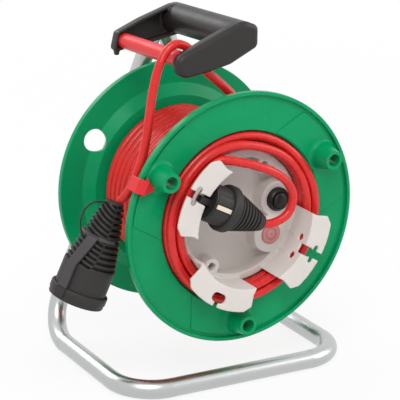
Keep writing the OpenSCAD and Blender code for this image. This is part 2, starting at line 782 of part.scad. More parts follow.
module rear_flange() {
    color("#00965f")
    at_drum() {
        difference() {
            // The profile is drawn with depth from the lip's edge, and set on the rear face
            translate([0, 0, -face_z]) rotate_extrude()
                polygon([
                    [bush_r, face_z - hub_rear],
                    [hub_r, face_z - hub_rear], [hub_r, dish_d - dish_t],
                    [step_r - step_w - 1, dish_d - dish_t], [step_r - 1, plate_d],
                    [drum_r - lip_w, plate_d], [drum_r - lip_w, 0.6], [drum_r - lip_w + 0.6, 0],
                    [drum_r - 0.6, 0], [drum_r, 0.6], [drum_r, lip_t - 0.6], [drum_r - 0.6, lip_t],
                    [step_r, lip_t], [step_r - step_w, dish_d], [hub_r + 2, dish_d],
                    [hub_r, dish_d + 2], [hub_r, face_z - bush_front], [bush_r, face_z - bush_front]
                ]);
            for (a = post_angles)
                rotate([0, 0, a]) translate([rear_hole_at, 0, -face_z - cut])
                    cylinder(d = rear_hole_d, h = dish_d + 2 * cut);
        }
        // Spigot that centres the core, and its webs to the hub
        translate([0, 0, -inner_z - dish_t / 2]) difference() {
            cylinder(r = core_in_r - seat_gap, h = dish_t / 2 + 6);
            translate([0, 0, -cut]) cylinder(r = core_in_r - 3, h = dish_t / 2 + 6 + 2 * cut);
        }
        for (a = [0:60:300])
            rotate([0, 0, a]) translate([hub_r - 1, -1.25, -inner_z - dish_t / 2])
                cube([core_in_r - hub_r - 1.5, 2.5, dish_t / 2 + 12]);
        // Pillars that the nest's screws bite into
        for (a = screw_angles)
            rotate([0, 0, a]) translate([screw_at_r, 0, -inner_z - dish_t / 2]) difference() {
                cylinder(r = 5, h = inner_z + dish_t / 2 + bowl_z - bowl_wall, $fn = small_fn);
                translate([0, 0, dish_t / 2 + 30])
                    cylinder(d = screw_d, h = inner_z + bowl_z, $fn = small_fn);
            }
    }
}

module front_flange() {
    color("#00965f")
    at_drum() difference() {
        union() {
            // Drawn with depth from the lip's edge, turned to face forward
            translate([0, 0, face_z]) mirror([0, 0, 1]) rotate_extrude()
                polygon([
                    [nest_r + move_gap, dish_d - dish_t], [recess_r, dish_d - dish_t],
                    [recess_r, plate_d + 0.8], [recess_r + 0.8, plate_d],
                    [drum_r - lip_w, plate_d], [drum_r - lip_w, 0.6], [drum_r - lip_w + 0.6, 0],
                    [drum_r - 0.6, 0], [drum_r, 0.6], [drum_r, lip_t - 0.6], [drum_r - 0.6, lip_t],
                    [recess_r + dish_t + 6, lip_t], [recess_r + dish_t, dish_d],
                    [nest_r + move_gap, dish_d]
                ]);
            for (a = post_angles) rotate([0, 0, a]) {
                translate([post_circle_r, 0, face_z - plate_d - plate_t / 2])
                    cylinder(d1 = post_base_d, d2 = post_tip_d, h = post_proud + plate_d + plate_t / 2);
                // Pad with straight sides, between the recess and the lip
                translate([0, 0, face_z - plate_d - plate_t / 2]) intersection() {
                    difference() {
                        cylinder(r = drum_r - lip_w - 3, h = plate_t / 2 + pad_h);
                        translate([0, 0, -cut]) cylinder(r = recess_r + 1.5, h = plate_t + pad_h + 2 * cut);
                    }
                    translate([0, -pad_half_w, -cut]) cube([drum_d, 2 * pad_half_w, plate_t + pad_h + 2 * cut]);
                }
            }
        }
        for (a = post_angles)
            rotate([0, 0, a]) translate([post_circle_r, 0, inner_z - cut])
                cylinder(d = post_bore_d, h = dish_d + post_proud + 2 * cut);
        // Hole where the lead comes through from the winding
        rotate([0, 0, coil_start_angle + coil_span + 6])
            translate([coil_out_r, 0, inner_z - cut]) cylinder(d = cord_d + 2, h = dish_t + 2 * cut);
    }
}

module drum_core() {
    color("#00824f")
    at_drum() difference() {
        translate([0, 0, -inner_z]) cylinder(r = core_r, h = 2 * inner_z);
        translate([0, 0, -inner_z - cut]) cylinder(r = core_in_r, h = 2 * inner_z + 2 * cut);
    }
}

module bearing_bush() {
    color("ivory")
    at_drum() difference() {
        union() {
            translate([0, 0, -bush_rear]) cylinder(r = bush_r - seat_gap / 2, h = bush_len);
            translate([0, 0, -bush_rear]) cylinder(r = bush_flange_r, h = bush_flange_t);
        }
        translate([0, 0, -bush_rear - cut])
            cylinder(r = axle_d / 2 + running_clearance, h = bush_len + 2 * cut);
    }
}

// ---- Winding ----

module winding_core() {
    color("#b41e1e")
    at_drum() difference() {
        translate([0, 0, -inner_z + 0.5])
            cylinder(r = (winding_r - cord_d) * cos(180 / loop_rings) - move_gap, h = 2 * inner_z - 1);
        translate([0, 0, -inner_z]) cylinder(r = core_r + seat_gap, h = 2 * inner_z);
    }
}

module winding_turns() {
    color("#d72828")
    at_drum() swept_tube(winding_points, cord_d, wound_sides, [0, 0, 1]);
}

module front_coil() {
    color("#d72828")
    at_drum() swept_tube(coil_points, cord_d, wound_sides, [0, 0, 1]);
}

module plug_lead() {
    color("#d72828")
    at_drum() swept_tube(lead_route, cord_d, cord_sides, [0, 0, 1]);
}

// ---- Plug nest ----

// A slot across a flap's lip, with round ends
module slotted(d, side) {
    for (end = [-1, 1]) translate([0, end * side]) circle(d = d, $fn = small_fn);
    square([d - 0.06, 2 * side], center = true);
}

// One flap: a wall that rises from the rim, and a lip that turns outwards over the coil
module flap(kind) {
    slot_w = kind == "oval" ? oval_slot_w : lip_slot_w;
    lip_low = flap_z - flap_t;
    difference() {
        union() {
            intersection() {
                translate([0, 0, rim_z - rim_t]) difference() {
                    cylinder(r = wall_out_r, h = flap_z - rim_z + rim_t);
                    translate([0, 0, -cut]) cylinder(r = wall_in_r, h = flap_z);
                }
                translate([0, -flap_root_half_w, 0]) cube([drum_r, 2 * flap_root_half_w, flap_z]);
            }
            translate([0, 0, lip_low]) linear_extrude(flap_t) intersection() {
                difference() {
                    circle(r = flap_r);
                    circle(r = wall_in_r);
                }
                polygon([
                    [0, -flap_root_half_w], [wall_out_r - 6, -flap_root_half_w],
                    [flap_r - 14, -flap_half_w], [flap_r - 3, -flap_half_w + 8],
                    [flap_r + 9, 0],
                    [flap_r - 3, flap_half_w - 8], [flap_r - 14, flap_half_w],
                    [wall_out_r - 6, flap_root_half_w], [0, flap_root_half_w]
                ]);
            }
            // Ribs at the foot of the wall
            for (side = [-1, 1])
                rotate([0, 0, side * 9]) translate([wall_in_r - 1, -0.6, rim_z - 0.5])
                    cube([1.5, 1.2, 12]);
        }
        // Slot through the lip to its edge
        translate([wall_out_r + 7, -slot_w / 2, lip_low - cut]) cube([drum_r, slot_w, flap_t + 2 * cut]);
        if (kind == "oval") {
            translate([notch_r, 0, lip_low - cut]) linear_extrude(flap_t + 2 * cut)
                slotted(oval_d, oval_side);
        } else {
            // Holes for the contact pins, a notch in the wall, and a cross slot with round ends
            for (side = [-1, 1])
                translate([wall_in_r - 6, side * pin_pitch / 2, pin_hole_z]) rotate([0, 90, 0])
                    cylinder(d = pin_d + 2, h = 12, $fn = small_fn);
            translate([wall_in_r - 2, -wall_notch_w / 2, lip_low - 6])
                cube([12, wall_notch_w, flap_t + 6 + cut]);
            translate([notch_r, 0, lip_low - cut]) linear_extrude(flap_t + 2 * cut)
                slotted(notch_d, notch_side);
        }
    }
}

module plug_nest() {
    color("#c8c4c0")
    at_drum() {
        difference() {
            union() {
                translate([0, 0, bowl_z - bowl_wall]) cylinder(r = nest_r, h = bowl_depth + bowl_wall);
                translate([0, 0, rim_z - rim_t]) cylinder(r = rim_r, h = rim_t);
            }
            // The bowl, left standing round the button, the lens and the screws
            translate([0, 0, bowl_z]) linear_extrude(bowl_depth + cut) difference() {
                circle(r = nest_r - bowl_wall);
                translate(button_at) circle(r = boss_r);
                translate(lens_at) circle(r = lens_boss_r);
                polygon([button_at, lens_at, [nest_r, -30], [nest_r, 10]]);
                for (a = screw_angles) rotate([0, 0, a]) translate([screw_at_r, 0]) circle(r = screw_boss_r);
            }
            // Hollows behind the bosses, and the holes through them
            translate([button_at[0], button_at[1], bowl_z - bowl_wall - cut])
                cylinder(r = boss_r - bowl_wall, h = bowl_depth + cut);
            translate([button_at[0], button_at[1], bowl_z])
                cylinder(r = neck_r + seat_gap, h = bowl_depth + cut);
            translate([lens_at[0], lens_at[1], bowl_z - bowl_wall - cut])
                cylinder(r = lens_d / 2 - 1, h = 2 * bowl_depth);
            translate([lens_at[0], lens_at[1], rim_z - 2])
                cylinder(r = lens_d / 2 + seat_gap, h = 2 + cut);
            for (a = screw_angles) rotate([0, 0, a]) translate([screw_at_r, 0, bowl_z - bowl_wall - cut]) {
                cylinder(d = screw_d + 0.4, h = 2 * bowl_depth, $fn = small_fn);
                translate([0, 0, bowl_wall + cut + 3]) cylinder(d = 7.4, h = 2 * bowl_depth, $fn = small_fn);
            }
        }
        rotate([0, 0, flap_angles[0]]) flap("cross");
        rotate([0, 0, flap_angles[1]]) flap("cross");
        rotate([0, 0, flap_angles[2]]) flap("oval");
    }
}

module nest_screws() {
    color("silver")
    at_drum() for (a = screw_angles)
        rotate([0, 0, a]) translate([screw_at_r, 0, bowl_z + 3 - screw_len]) {
            cylinder(d = screw_d, h = screw_len, $fn = small_fn);
            translate([0, 0, screw_len]) cylinder(d = screw_head_d, h = 2.6, $fn = small_fn);
        }
}

module indicator_lens() {
    color([0.85, 0.35, 0.35])
    at_drum() translate([lens_at[0], lens_at[1], 0]) {
        translate([0, 0, rim_z - 2]) cylinder(d = lens_d, h = 2.6);
        // Concentric rings on the face
        for (r = [lens_d / 2 - 1.2, lens_d / 3.2, lens_d / 8])
            translate([0, 0, rim_z + 0.6]) difference() {
                cylinder(r = r, h = 0.6);
                translate([0, 0, -cut]) cylinder(r = r - 1, h = 0.6 + 2 * cut);
            }
        translate([0, 0, rim_z - 8]) cylinder(r = lens_d / 2 - 1 - move_gap, h = 6);
    }
}

module lamp_holder() {
    color("white")
    at_drum() translate([lens_at[0], lens_at[1], rim_z - 8 - 14]) {
        cylinder(d = 9, h = 14, $fn = small_fn);
        cylinder(r = lens_d / 2 - 1 - seat_gap, h = 3);
    }
}

module thermal_cutout() {
    box_top = rim_z - bowl_wall;
    color("#2a2a2a")
    at_drum() translate([button_at[0], button_at[1], 0]) difference() {
        union() {
            translate([-9, -7, box_top - 20]) cube([18, 14, 20]);
            translate([0, 0, box_top - 2]) cylinder(r = neck_r, h = bowl_wall + 2 + 3);
        }
        translate([0, 0, box_top - 10]) cylinder(r = button_r - 1 + move_gap, h = 30);
    }
}

module cutout_collar() {
    color("#232221")
    at_drum() translate([button_at[0], button_at[1], rim_z]) difference() {
        cylinder(d = collar_d, h = collar_h);
        translate([0, 0, -cut]) cylinder(r = neck_r + seat_gap, h = collar_h + 2 * cut);
        // Grip notches round the edge
        for (a = [0:30:330])
            rotate([0, 0, a]) translate([collar_d / 2 + 0.6, 0, -cut])
                cylinder(r = 1.6, h = collar_h + 2 * cut, $fn = 24);
    }
}

module reset_button() {
    stem_r = button_r - 1;
    color("#1c1b1b")
    at_drum() translate([button_at[0], button_at[1], 0]) {
        translate([0, 0, rim_z - bowl_wall - 2]) cylinder(r = stem_r, h = bowl_wall + 2 + 3 + button_travel + 0.5);
        translate([0, 0, rim_z + 3 + button_travel + 0.3]) rotate_extrude()
            polygon([[0, 0], [button_r + 0.6, 0], [button_r + 0.6, button_proud - 1.8],
                     [button_r - 0.8, button_proud - 1], [0, button_proud]]);
    }
}

module button_spring() {
    wire = 0.9;
    turns = 4;
    base = rim_z - bowl_wall - 10 + 0.2;
    // Short enough to clear the button when it is pressed home
    height = 10 - 2 - button_travel - 0.2 - move_gap;
    steps = 8;
    color("silver")
    at_drum() translate([button_at[0], button_at[1], base])
        swept_tube([for (k = [0:turns * steps])
            let (a = k * 360 / steps)
            [3.6 * cos(a), 3.6 * sin(a), wire / 2 + (height - wire) * k / (turns * steps)]],
            wire, wound_sides, [0, 0, 1]);
}

module terminal_block() {
    color("ivory")
    at_drum() translate([-18, -30, bowl_z - bowl_wall - 14]) difference() {
        cube([30, 16, 14]);
        for (x = [6, 15, 24]) {
            translate([x, -cut, 5]) rotate([-90, 0, 0]) cylinder(d = 4, h = 16 + 2 * cut, $fn = small_fn);
            translate([x, 8, -cut]) cylinder(d = 3.5, h = 5, $fn = small_fn);
        }
    }
}

// ---- Plug ----

module plug_body() {
    front_len = 30;
    rib_len = plug_len - front_len;
    pitch = rib_len / plug_ribs;
    function taper(s) = plug_tail_r + (plug_d / 2 - 2 - plug_tail_r) * pow(1 - s, 0.9);
    ribs = [for (i = [0:plug_ribs - 1]) each
        let (z = -front_len - i * pitch, r = taper((i + 0.5) / plug_ribs))
        [[r - 1.8, z], [r - 1.8, z - 0.35 * pitch], [r, z - 0.42 * pitch], [r, z - 0.95 * pitch]]];
    color("#3c3937")
    at_plug() difference() {
        rotate_extrude()
            polygon(concat(
                [[0, -plug_face_t], [plug_nose_r, -plug_face_t], [plug_nose_r, -plug_nose_len],
                 [plug_d / 2 - 1, -plug_nose_len], [plug_d / 2, -plug_nose_len - 1],
                 [plug_d / 2, -front_len + 1.5], [plug_d / 2 - 1.5, -front_len]],
                ribs, [[plug_tail_r - 1, -plug_len], [0, -plug_len]]));
        // Grooves at the front and back that take the earth strips
        for (side = [-1, 1])
            translate([side * plug_nose_r - earth_t, -earth_w / 2 - seat_gap, -plug_nose_len + 1])
                cube([2 * earth_t, earth_w + 2 * seat_gap, plug_nose_len]);
        // Sockets that hold the pins' roots
        for (side = [-1, 1])
            translate([0, side * pin_pitch / 2, -plug_face_t - pin_root])
                cylinder(d = pin_d + 0.1, h = plug_nose_len, $fn = small_fn);
    }
}

module plug_face() {
    color("#1d1c1b")
    at_plug() {
        difference() {
            translate([0, 0, -plug_face_t]) cylinder(r = plug_nose_r - 1.2, h = plug_face_t);
            for (side = [-1, 1]) translate([0, side * pin_pitch / 2, -plug_face_t - cut])
                cylinder(d = pin_d + 0.1, h = plug_face_t + 2 * cut, $fn = small_fn);
        }
        // Tab that reaches into the notch of the nest's wall
        translate([-plug_nose_r + 8, -nose_tab_w / 2, -1]) cube([7, nose_tab_w, 13]);
    }
}

module plug_pins() {
    color("silver")
    at_plug() for (side = [-1, 1]) translate([0, side * pin_pitch / 2, 0]) {
        translate([0, 0, -plug_face_t - pin_root])
            cylinder(d = pin_d, h = plug_face_t + pin_root + pin_len - 2, $fn = small_fn);
        translate([0, 0, pin_len - 2]) cylinder(d1 = pin_d, d2 = pin_d - 2, h = 2, $fn = small_fn);
    }
}

module earth_strips() {
    color("gainsboro")
    at_plug() for (side = [-1, 1])
        translate([side * (plug_nose_r - earth_t / 2) - earth_t / 2, -earth_w / 2, -plug_nose_len + 1])
            cube([earth_t, earth_w, plug_nose_len - plug_face_t - 1]);
}

// ---- Cord clip ----

// Bar that bridges the slot of the flap that holds the plug
module latch_bar() {
    half = notch_side + sqrt(pow(notch_d / 2, 2) - pow(flap_t / 2, 2)) - 2 * seat_gap;
    color("#a8a4a0")
    at_drum() rotate([0, 0, flap_angles[1]]) translate([notch_r, half, flap_z - flap_t / 2])
        rotate([90, 0, 0]) cylinder(d = flap_t, h = 2 * half, $fn = small_fn);
}

module cord_clip() {
    hook_in = face_z - lip_t - seat_gap;
    hook_out = face_z + seat_gap;
    color("#dc2020")
    at_drum() rotate([0, 0, clip_angle]) {
        // Block over the rim, with a jaw behind the lip and a spur on its outer end
        translate([drum_r + seat_gap, -clip_w / 2, hook_in - 3]) cube([3, clip_w, hook_out - hook_in + 6]);
        translate([drum_r - 4, -clip_w / 2, hook_in - 3]) cube([5, clip_w, 3]);
        translate([drum_r + 2, -clip_w / 2 + 2, hook_in - 2]) cube([3, clip_w - 4, 4]);
        // Arrow tip on the front
        translate([0, 0, hook_out]) linear_extrude(3)
            polygon([[drum_r + 1, -clip_w / 2], [drum_r + 1, clip_w / 2], [clip_tip_r, clip_w / 2],
                     [clip_tip_r, clip_tip_w / 2], [drum_r - 12, 0], [clip_tip_r, -clip_tip_w / 2],
                     [clip_tip_r, -clip_w / 2]]);
    }
}

frame_tube();
bearing_bracket();
bracket_bolts();
bracket_nuts();
axle();
axle_nut();
axle_circlip();
handle_body();
guide_bar();
handle_screws();
cord_over_bar();
coupling_body();
coupling_face();
coupling_contacts();
coupling_cap();
cap_strap();
tether_loop();
rear_flange();
front_flange();
drum_core();
bearing_bush();
winding_core();
winding_turns();
plug_nest();
nest_screws();
indicator_lens();
lamp_holder();
thermal_cutout();
cutout_collar();
reset_button();
button_spring();
terminal_block();
front_coil();
plug_lead();
plug_body();
plug_face();
plug_pins();
earth_strips();
latch_bar();
cord_clip();
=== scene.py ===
"""Extension cord reel: materials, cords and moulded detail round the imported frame.

Sizes are in millimetres here, and become metres where a piece is placed in the row frame.
"""

import json
import math

import bpy
from mathutils import Matrix, Vector


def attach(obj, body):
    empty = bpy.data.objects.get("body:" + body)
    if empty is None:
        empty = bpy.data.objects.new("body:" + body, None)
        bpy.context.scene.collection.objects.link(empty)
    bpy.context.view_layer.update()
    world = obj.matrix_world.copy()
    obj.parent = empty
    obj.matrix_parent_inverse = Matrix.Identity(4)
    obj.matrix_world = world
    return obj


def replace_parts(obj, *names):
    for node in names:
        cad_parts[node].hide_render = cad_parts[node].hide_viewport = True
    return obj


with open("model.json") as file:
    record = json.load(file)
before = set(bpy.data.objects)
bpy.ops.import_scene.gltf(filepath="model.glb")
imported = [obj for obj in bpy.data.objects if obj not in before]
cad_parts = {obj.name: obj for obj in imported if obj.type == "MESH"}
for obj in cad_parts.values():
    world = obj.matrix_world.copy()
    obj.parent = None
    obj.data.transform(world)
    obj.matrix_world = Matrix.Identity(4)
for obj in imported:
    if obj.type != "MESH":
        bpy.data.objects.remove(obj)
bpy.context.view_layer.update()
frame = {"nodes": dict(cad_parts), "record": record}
NODES = frame["nodes"]

MM = 0.001

# ---- Sizes and places, in millimetres and degrees ----
# The drum and the cord on it
DRUM_Y = -6.7
AXIS_H = 160
DRUM_R = 120
INNER_Z = 58
FACE_Z = 71
POST_CIRCLE_R = 100
POST_ANGLES = (30, 150, 270)
CORD_D = 8.3
WINDING_R = 79
WINDING_TURNS = 12
WINDING_END_ANGLE = 43.3
LEAVE_LEN = 39.5

# The front recess with the stowed coil
FLOOR_Z = 60.5
WALL_OUT_R = 63.5
RECESS_R = 83
COIL_TURNS = 4
COIL_START_ANGLE = 128
COIL_STAGGER = 60

# The nest, the cut-out and the lens
RIM_Z = 63
FLAP_Z = 95
FLAP_NOTCH_R = 74
LATCH_ANGLE = 150
BUTTON_AT = (41.5, 11.5)
CUTOUT_COLLAR_R = 11.3
LENS_AT = (36.7, -22.5)
LENS_RING_W = 5
CLIP_ANGLE = 157.3

# The coupling, its strap and its cap
COUPLING_NECK = Vector((-115, DRUM_Y - 36, 181))
COUPLING_END = Vector((-148, DRUM_Y - 30, 97))
COUPLING_LEN = 94
COUPLING_R = 24.3
COUPLING_NECK_R = 8.5
RIB_ZONE = 62
SEAM_TURN = 84
SEAM_SWEEP = 22
STRAP_TOP = 32.5
STRAP_TURN = 131
STRAP_SWEEP = 17
STRAP_HALF_W = 5
CAP_DEPTH = 9
CAP_R = 27

# The plug: where its face is about the drum's axis, and its own sizes
PLUG_AT_R = 56.2
PLUG_AT_ANGLE = 150
PLUG_AT_Z = 83
PLUG_TURN = 153.5
PLUG_LEN = 68
PLUG_FACE_T = 2
PLUG_NOSE_R = 19
PLUG_NOSE_LEN = 20
PLUG_COLLAR_R = 22
PLUG_COLLAR_END = 29
PLUG_TAIL_R = 7.5

# The handle and the bar between its arms
GRIP_H = 325
GRIP_TILT = 3.1
GRIP_R = 14.5
NEAR_FACE = 62
FAR_FACE = 70
ARM_T = 13
ARM_WALL = 3
BAR_AT = (-58, -17)
BAR_R = 7.4
# Circles (x, y, radius) that each arm's outline is drawn round
NEAR_ARM = [
    (9.6, 5.5, 6), (9, -5.8, 6.5), (0, 0, 14.5), (-18, -10, 14.5), (-40, -16.5, 13),
    (-57.6, -20.6, 11.6),
]
FAR_ARM = [
    (8.6, 6.2, 6), (8.2, -6.2, 6), (0, 0, 14.5), (-4, 0, 14.3), (-36, -9, 12.7),
    (-63, -10.5, 3.5), (-66.5, -23, 3),
]

# Route of the cord from the winding over the guide bar: x, y from the drum's middle, z
BAR_ROUTE = [
    (27, -53, 240), (19, -53, 249), (11, -52, 257), (4, -51, 265), (-4, -50, 273),
    (-12, -49, 281), (-21, -48, 289), (-30, -46, 297), (-38, -45, 306), (-44, -44, 314),
    (-48, -43, 319), (-53, -42, 322), (-58, -42, 323.5), (-63, -42, 322.5), (-68, -42, 319),
    (-72, -42, 314), (-76, -43, 307), (-79, -43, 299), (-82, -44, 289), (-84, -44, 279),
    (-86, -45, 267), (-87.5, -45, 256), (-89.5, -46, 244), (-92, -47, 233), (-95, -48, 222),
    (-99, -48, 212), (-102.5, -47, 202), (-105, -44, 193.5), (-107.5, -41, 187.5),
    (-110.5, -37.5, 182),
]
# Route of the lead from the plug's tail to the front coil: x, y up from the axis, z forward
LEAD_ROUTE = [
    (8, 0, 83), (14, -3, 83), (21, -4, 84), (28, -3, 84), (35, 0, 85), (41, 5, 85),
    (44, 12, 85), (45, 20, 85), (42, 28, 85), (37, 35, 85), (30, 41, 85), (22, 46, 85),
    (14, 50, 85), (6, 53, 84), (-2, 56, 83), (-10, 58, 82), (-17, 60, 81), (-24, 61, 79),
    (-31, 61, 76), (-37, 58, 75), (-42, 54, 74),
]
# About how far apart the points of a smoothed route lie
ROUTE_STEP = 3


# ---- Places ----
def turned(axis, degrees):
    return Matrix.Rotation(math.radians(degrees), 4, axis)


# From the drum's own millimetres, z forward from its middle, to the row frame
AT_DRUM = Matrix.Scale(MM, 4) @ Matrix.Translation((0, DRUM_Y, AXIS_H)) @ turned("X", 90)
# From the handle's own millimetres, z forward along the grip, to the row frame
AT_HANDLE = (Matrix.Scale(MM, 4) @ Matrix.Translation((0, DRUM_Y, GRIP_H))
             @ turned("X", 90 - GRIP_TILT))


def at_coupling():
    """From the coupling's own millimetres, along its axis from the neck, to the row frame."""
    along = (COUPLING_END - COUPLING_NECK).normalized()
    turn = turned("Z", math.degrees(math.atan2(along.y, along.x)))
    lean = turned("Y", math.degrees(math.acos(along.z)))
    return Matrix.Scale(MM, 4) @ Matrix.Translation(COUPLING_NECK) @ turn @ lean


def at_plug():
    """From the plug's own millimetres, with z = 0 at its face, to the row frame."""
    a = math.radians(PLUG_AT_ANGLE)
    face = (PLUG_AT_R * math.cos(a), PLUG_AT_R * math.sin(a), PLUG_AT_Z)
    return AT_DRUM @ Matrix.Translation(face) @ turned("Z", PLUG_TURN) @ turned("Y", 90)


def drum_point(x, up, forward):
    """A point given about the drum's axis, in the row frame, in metres."""
    return Vector((x, DRUM_Y - forward, AXIS_H + up)) * MM


# ---- Camera: metres and radians, with the lens in millimetres ----
CAMERA_AT = Vector((-0.8356, -1.4012, 0.6849))
CAMERA_AZIMUTH = -0.537518
CAMERA_ELEVATION = 0.314098
CAMERA_ROLL = 0.03436
CAMERA_LENS = 161.2
CAMERA_SENSOR_W = 36


def add_camera():
    """The camera at the photograph's viewing angle."""
    a, e, roll = CAMERA_AZIMUTH, CAMERA_ELEVATION, CAMERA_ROLL
    back = Vector((math.sin(a) * math.cos(e), -math.cos(a) * math.cos(e), math.sin(e)))
    right = Vector((math.cos(a), math.sin(a), 0))
    up = back.cross(right)
    rolled_right = math.cos(roll) * right + math.sin(roll) * up
    rolled_up = -math.sin(roll) * right + math.cos(roll) * up
    data = bpy.data.cameras.new("camera")
    data.lens = CAMERA_LENS
    data.sensor_width = CAMERA_SENSOR_W
    camera = bpy.data.objects.new("camera", data)
    turn = Matrix((rolled_right, rolled_up, back)).transposed().to_4x4()
    camera.matrix_world = Matrix.Translation(CAMERA_AT) @ turn
    bpy.context.scene.collection.objects.link(camera)
    bpy.context.scene.camera = camera


# ---- Cord lines ----
def smooth_line(points, step):
    """A Catmull-Rom line through the points, with a point about every step metres."""
    ends = [2 * points[0] - points[1], *points, 2 * points[-1] - points[-2]]
    line = []
    for i in range(1, len(ends) - 2):
        p0, p1, p2, p3 = ends[i - 1:i + 3]
        count = max(2, round((p2 - p1).length / step))
        for k in range(count):
            t = k / count
            line.append(0.5 * (2 * p1 + (p2 - p0) * t + (2 * p0 - 5 * p1 + 4 * p2 - p3) * t**2
                               + (3 * p1 - p0 - 3 * p2 + p3) * t**3))
    return [*line, points[-1]]


def cord_piece(name, points, diameter, material, body):
    """A round cord along a line of points, as a curve."""
    data = bpy.data.curves.new(name, "CURVE")
    data.dimensions = "3D"
    data.bevel_depth = diameter / 2
    data.bevel_resolution = 5
    data.use_fill_caps = True
    spline = data.splines.new("POLY")
    spline.points.add(len(points) - 1)
    for spot, p in zip(spline.points, points):
        spot.co = (*p, 1)
    spline.use_smooth = True
    data.materials.append(material)
    piece = bpy.data.objects.new(name, data)
    bpy.context.scene.collection.objects.link(piece)
    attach(piece, body)
    return piece


def ease(t):
    """Smoothstep between 0 and 1."""
    t = min(max(t, 0), 1)
    return t * t * (3 - 2 * t)


def winding_line():
    """The outer layer on the drum: a helix that leaves along its tangent."""
    side_gap = 1
    turn_steps, rise_steps, leave_steps = 72, 9, 8
    r = WINDING_R - CORD_D / 2
    pitch = (2 * INNER_Z - CORD_D - 2 * side_gap) / WINDING_TURNS
    end_z = INNER_Z - CORD_D / 2 - side_gap
    first = -WINDING_TURNS * turn_steps
    line = []
    for k in range(first, 1):
        a = math.radians(WINDING_END_ANGLE + k * 360 / turn_steps)
        # The first steps come up from the layer below
        here = r - CORD_D * (1 - ease((k - first) / rise_steps))
        line.append(drum_point(here * math.cos(a), here * math.sin(a),
                               end_z + k * pitch / turn_steps))
    a = math.radians(WINDING_END_ANGLE)
    for k in range(1, leave_steps + 1):
        s = LEAVE_LEN * k / leave_steps
        line.append(drum_point(r * math.cos(a) - s * math.sin(a),
                               r * math.sin(a) + s * math.cos(a), end_z))
    return line


def coil_line():
    """The stowed lead: two columns and two layers, with a step to the next place in each turn."""
    wall_gap, column_gap, rim_gap, floor_gap, layer_gap = 0.9, 0.8, 0.5, 0.3, 0.6
    degree_step = 5
    in_r = WALL_OUT_R + CORD_D / 2 + wall_gap
    out_r = min(RECESS_R - CORD_D / 2 - rim_gap, in_r + CORD_D + column_gap)
    low_z = FLOOR_Z + CORD_D / 2 + floor_gap
    top_z = low_z + CORD_D + layer_gap
    places = [(in_r, top_z), (out_r, top_z), (out_r, low_z), (in_r, low_z)]
    free = 360 - COIL_STAGGER
    span = 360 * COIL_TURNS - COIL_STAGGER * (COIL_TURNS - 1)
    line = []
    for degrees in range(0, span + 1, degree_step):
        turn = min(int(degrees // free), COIL_TURNS - 1)
        r, z = places[turn]
        if turn > 0:
            before_r, before_z = places[turn - 1]
            t = ease((degrees - turn * free) / COIL_STAGGER)
            r = before_r + (r - before_r) * t
            z = before_z + (z - before_z) * t
        a = math.radians(COIL_START_ANGLE + degrees)
        line.append(drum_point(r * math.cos(a), r * math.sin(a), z))
    return line


# ---- Materials: their lengths are in metres ----
# Noise lies nearly all between these values
NOISE_LOW = 0.3
NOISE_HIGH = 0.7
# Period of the wave texture, before its scale
WAVE_PERIOD = math.pi / 10


def colour(red, green, blue):
    """Linear colour of an 8-bit screen colour."""
    def linear(c):
        c /= 255
        return c / 12.92 if c <= 0.04045 else ((c + 0.055) / 1.055) ** 2.4
    return (linear(red), linear(green), linear(blue), 1)


def shade(base, factor):
    return (*[min(c * factor, 1) for c in base[:3]], 1)


def shader_node(tree, kind, **values):
    """A new shader node; each value sets its property, or its input with _ for a space."""
    made = tree.nodes.new(kind)
    for key, value in values.items():
        if hasattr(made, key):
            setattr(made, key, value)
        else:
            made.inputs[key.replace("_", " ")].default_value = value
    return made


